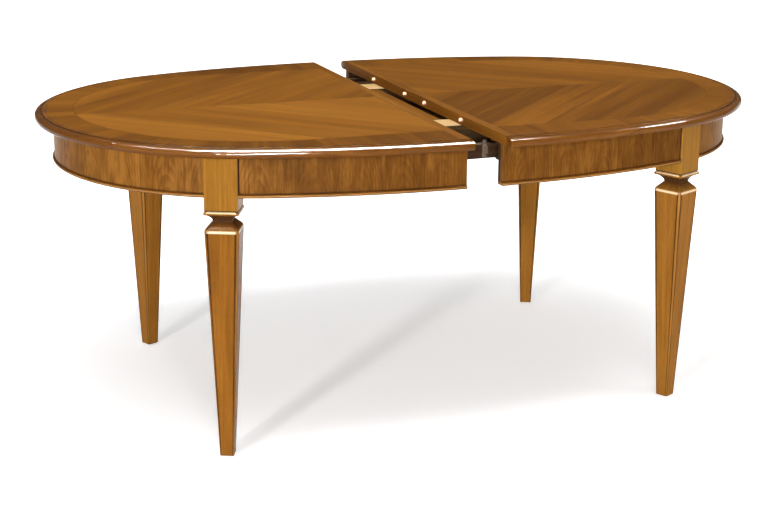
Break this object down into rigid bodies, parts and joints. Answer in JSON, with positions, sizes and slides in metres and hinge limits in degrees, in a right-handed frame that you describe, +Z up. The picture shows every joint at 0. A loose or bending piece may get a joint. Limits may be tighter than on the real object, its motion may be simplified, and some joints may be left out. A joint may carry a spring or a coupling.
{
  "type": "oval extending dining table",
  "caption": "Oval dining table with square tapered legs and a curved apron; its top parts in the middle and draws open on wooden slides to take a leaf.",
  "frame": {"origin": "on the floor under the middle of the table, opened as in the picture", "axes": "+X along the table's length, towards the right half, which draws out along it; +Y to the back; +Z up"},
  "size_m": [1.89, 1.2, 0.76],
  "materials": {
    "veneered_top": "satin lacquered walnut-cherry veneer, strips laid in a diamond",
    "moulding_wood": "semi-gloss lacquered solid wood",
    "veneered_apron": "satin lacquered veneer with upright grain",
    "leg_wood": "semi-gloss lacquered solid wood",
    "frame_wood": "planed, unlacquered",
    "slide_beech": "planed and waxed beech",
    "lip_wood": "stained and lacquered",
    "edging_wood": "planed and lacquered hardwood edging",
    "dark_wood": "dark stained, matt",
    "steel": "zinc plated",
    "brass": "turned, polished",
    "glide_plastic": "matt"
  },
  "bodies": {
    "left_half": {"aligning_rail_back": "dark_wood", "aligning_rail_front": "dark_wood", "board_bearers": "slide_beech", "catch_pivot": "steel", "catch_screws": "steel", "catch_strap": "steel", "closing_board": "dark_wood", "leaf_bushes": "brass", "left_apron_back": "veneered_apron", "left_apron_end": "veneered_apron", "left_apron_front": "veneered_apron", "left_bead_back": "moulding_wood", "left_bead_end": "moulding_wood", "left_bead_front": "moulding_wood", "left_cut_edging": "edging_wood", "left_edge_moulding": "moulding_wood", "left_end_batten": "frame_wood", "left_glides": "glide_plastic", "left_leg_back": "leg_wood", "left_leg_bolts": "steel", "left_leg_brace_back": "frame_wood", "left_leg_brace_front": "frame_wood", "left_leg_front": "leg_wood", "left_slide_back": "slide_beech", "left_slide_dogs": "slide_beech", "left_slide_front": "slide_beech", "left_top_panel": "veneered_top", "left_wood_screws": "steel", "seam_lip": "lip_wood"},
    "right_half": {"catch_keeper": "steel", "keeper_screw": "steel", "leaf_dowels": "brass", "rail_guide_back": "dark_wood", "rail_guide_front": "dark_wood", "right_apron_back": "veneered_apron", "right_apron_end": "veneered_apron", "right_apron_front": "veneered_apron", "right_bead_back": "moulding_wood", "right_bead_end": "moulding_wood", "right_bead_front": "moulding_wood", "right_cut_edging": "edging_wood", "right_edge_moulding": "moulding_wood", "right_end_batten": "frame_wood", "right_glides": "glide_plastic", "right_leg_back": "leg_wood", "right_leg_bolts": "steel", "right_leg_brace_back": "frame_wood", "right_leg_brace_front": "frame_wood", "right_leg_front": "leg_wood", "right_slide_back": "slide_beech", "right_slide_dogs": "slide_beech", "right_slide_front": "slide_beech", "right_top_panel": "veneered_top", "right_wood_screws": "steel", "seam_batten": "frame_wood"},
    "core_front": {"core_lugs_front": "steel", "core_slide_front": "slide_beech"},
    "core_back": {"core_lugs_back": "steel", "core_slide_back": "slide_beech"},
    "catch_hook": {"catch_hook": "steel"}
  },
  "joints": [
    {"name": "front_slide_draw", "type": "slide", "parent": "left_half", "child": "core_front", "axis": [1, 0, 0], "range_m": [-0.045, 0.18]},
    {"name": "back_slide_draw", "type": "slide", "parent": "left_half", "child": "core_back", "axis": [1, 0, 0], "range_m": [-0.045, 0.18]},
    {"name": "right_half_draw", "type": "slide", "parent": "core_front", "child": "right_half", "axis": [1, 0, 0], "range_m": [-0.045, 0.18]},
    {"name": "catch_swing", "type": "hinge", "parent": "left_half", "child": "catch_hook", "pos_m": [0.028, -0.4896, 0.716], "axis": [0, -1, 0], "range_deg": [0, 90]}
  ],
  "couplings": [
    {"joint": "back_slide_draw", "follows": "front_slide_draw", "ratio": 1}
  ]
}
